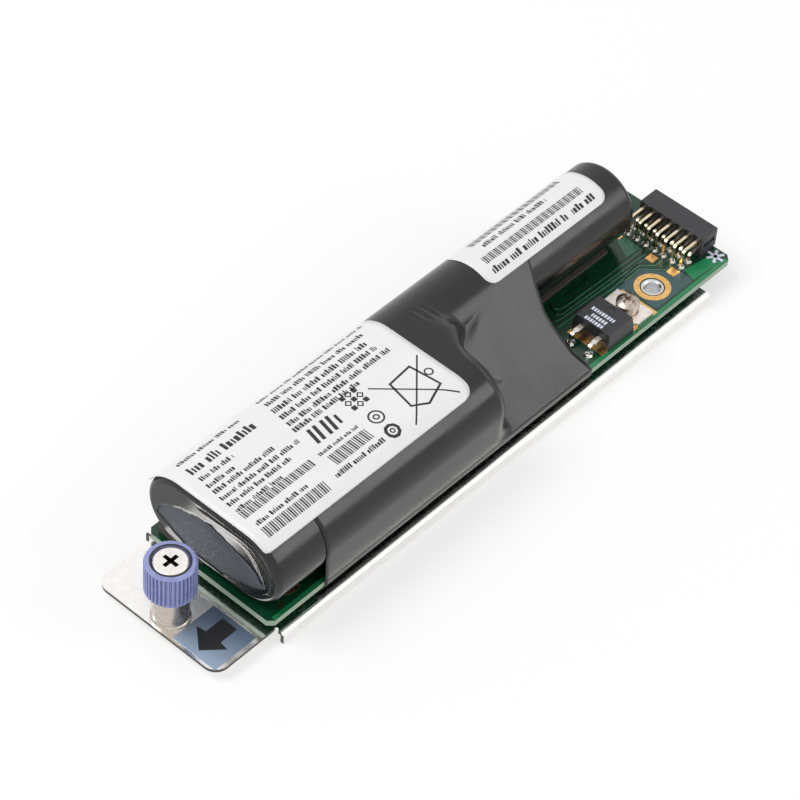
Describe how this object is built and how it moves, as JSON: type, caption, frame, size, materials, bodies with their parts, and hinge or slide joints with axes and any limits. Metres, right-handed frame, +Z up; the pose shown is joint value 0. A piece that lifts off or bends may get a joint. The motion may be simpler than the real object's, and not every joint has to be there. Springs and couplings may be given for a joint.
{
  "type": "backup battery module",
  "caption": "Round lithium cells in black shrink film on a circuit board, in a folded steel tray with a captive thumbscrew, a power resistor and a board connector.",
  "frame": {"origin": "bottom centre of the whole module's box, at the level of the tray flanges' lower edges", "axes": "+X runs along the tray from the thumbscrew to the connector, +Y is the side that carries two cells end to end, +Z is up"},
  "size_m": [0.1648, 0.039, 0.0259],
  "materials": {
    "zinc_steel": "bright zinc plate, folded sheet",
    "standoff_steel": "tin plated, turned",
    "nickel": "warm nickel plate, turned",
    "knob_lavender": "lavender anodised, knurled",
    "screw_steel": "nickel plate, satin",
    "spring_steel": "bare spring wire",
    "mask_green": "dark green solder mask on glass laminate",
    "gold": "gold flash on copper",
    "moulding_black": "black glass-filled nylon",
    "contact_gold": "tinned and gold flashed wire",
    "solder": "bright solder",
    "epoxy_black": "moulded epoxy",
    "heat_tab": "tinned copper",
    "screw_nickel": "warm nickel plate",
    "cell_film": "blue film on a steel can",
    "nickel_strip": "bare nickel strip",
    "fish_paper": "grey vulcanised fibre",
    "foam": "closed-cell foam",
    "shrink_black": "glossy heat-shrink film",
    "label_white": "coated white paper, bare",
    "sticker_blue": "blue-grey film with a black arrow"
  },
  "bodies": {
    "module": {"tray": "zinc_steel", "standoffs": "standoff_steel", "ferrule": "nickel", "screw_spring": "spring_steel", "circuit_board": "mask_green", "gold_pads": "gold", "connector_housing": "moulding_black", "upper_contacts": "contact_gold", "lower_contacts": "contact_gold", "solder_joints": "solder", "resistor_body": "epoxy_black", "resistor_tab": "heat_tab", "resistor_leads": "heat_tab", "resistor_screw": "screw_nickel", "lock_washer": "screw_nickel", "resistor_nut": "screw_nickel", "near_cell": "cell_film", "far_cell": "cell_film", "rear_cell": "cell_film", "front_link": "nickel_strip", "middle_link": "nickel_strip", "rear_link": "nickel_strip", "front_insulator": "fish_paper", "middle_insulator": "fish_paper", "rear_insulator": "fish_paper", "foam_cradles": "foam", "front_sleeve": "shrink_black", "rear_sleeve": "shrink_black", "outer_film": "shrink_black", "rating_label": "label_white", "small_label": "label_white", "arrow_sticker": "sticker_blue"},
    "retainer": {"retaining_ring": "spring_steel"},
    "thumbscrew": {"knob": "knob_lavender", "captive_screw": "screw_steel"}
  },
  "joints": [
    {"name": "screw_travel", "type": "slide", "parent": "module", "child": "retainer", "axis": [0, 0, 1], "range_m": [-0.0042, 0], "stiffness_N_per_m": 600, "springref_m": 0.004, "deforming": ["screw_spring"]},
    {"name": "screw_turn", "type": "hinge", "parent": "retainer", "child": "thumbscrew", "pos_m": [-0.07699, 0, 0.011], "axis": [0, 0, 1], "continuous": true}
  ]
}
